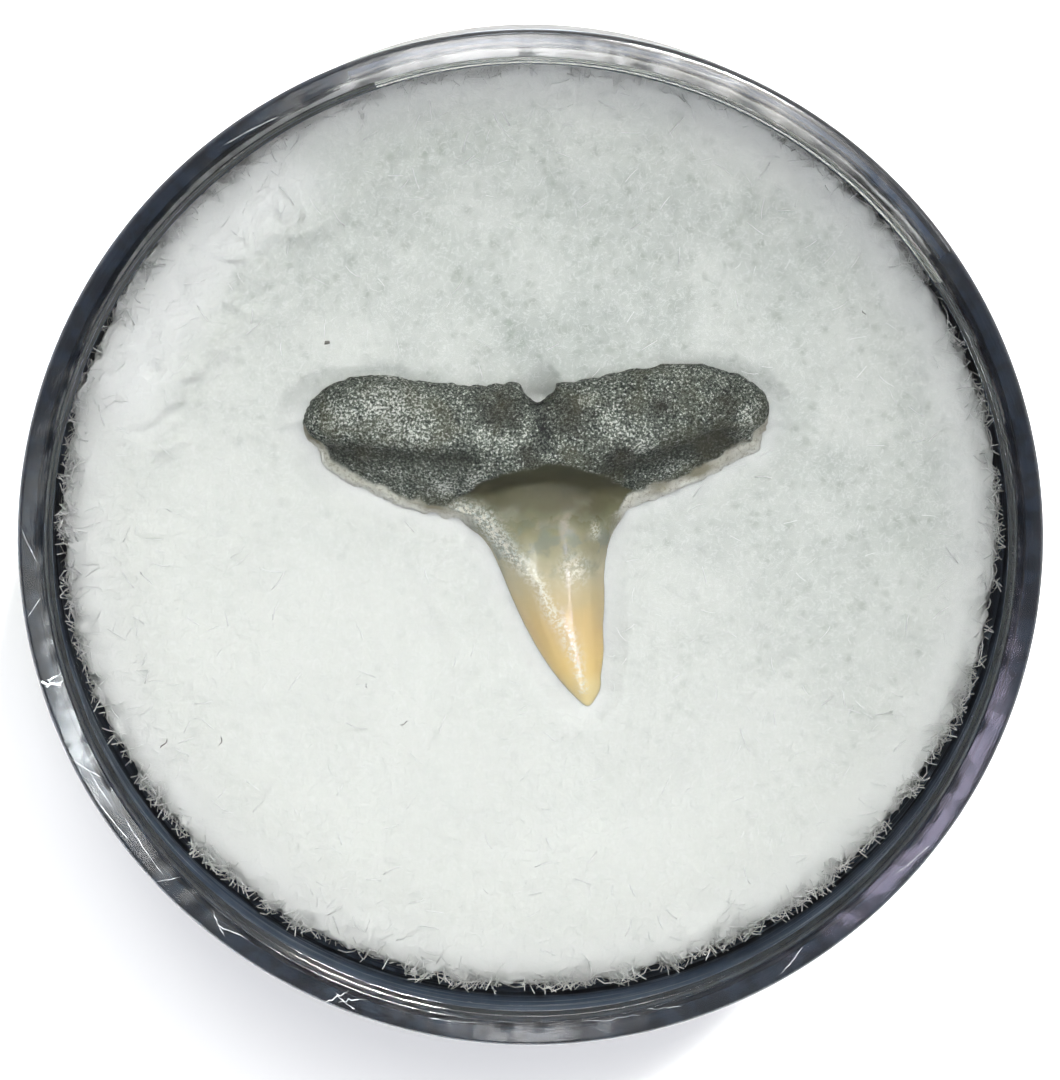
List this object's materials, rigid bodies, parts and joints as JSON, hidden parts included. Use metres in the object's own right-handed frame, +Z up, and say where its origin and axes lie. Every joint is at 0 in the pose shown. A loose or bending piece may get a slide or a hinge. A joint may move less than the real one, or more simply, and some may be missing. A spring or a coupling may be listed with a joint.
{
  "type": "fossil shark tooth in a display case",
  "caption": "Fossil lemon shark tooth with a lobed root and a slender blade of a crown, lying on a round foam pad in a small clear-topped display case.",
  "frame": {"origin": "on the case's axis, in the plane it stands on", "axes": "+Z up along the case's axis, the tooth's crown pointing to -Y and its root's longer lobe edge to +X"},
  "size_m": [0.038, 0.038, 0.018],
  "materials": {
    "fossil_tooth": "rough dark grey root, glossy crown from olive brown to cream",
    "white_foam": "white open-cell foam with a fuzzy cut edge",
    "clear_plastic": "clear, polished, lightly scuffed on the rim",
    "black_plastic": "black, satin gloss"
  },
  "bodies": {
    "root": {"tooth": "fossil_tooth", "foam_pad": "white_foam", "lid": "clear_plastic", "base_cup": "black_plastic"}
  },
  "joints": []
}
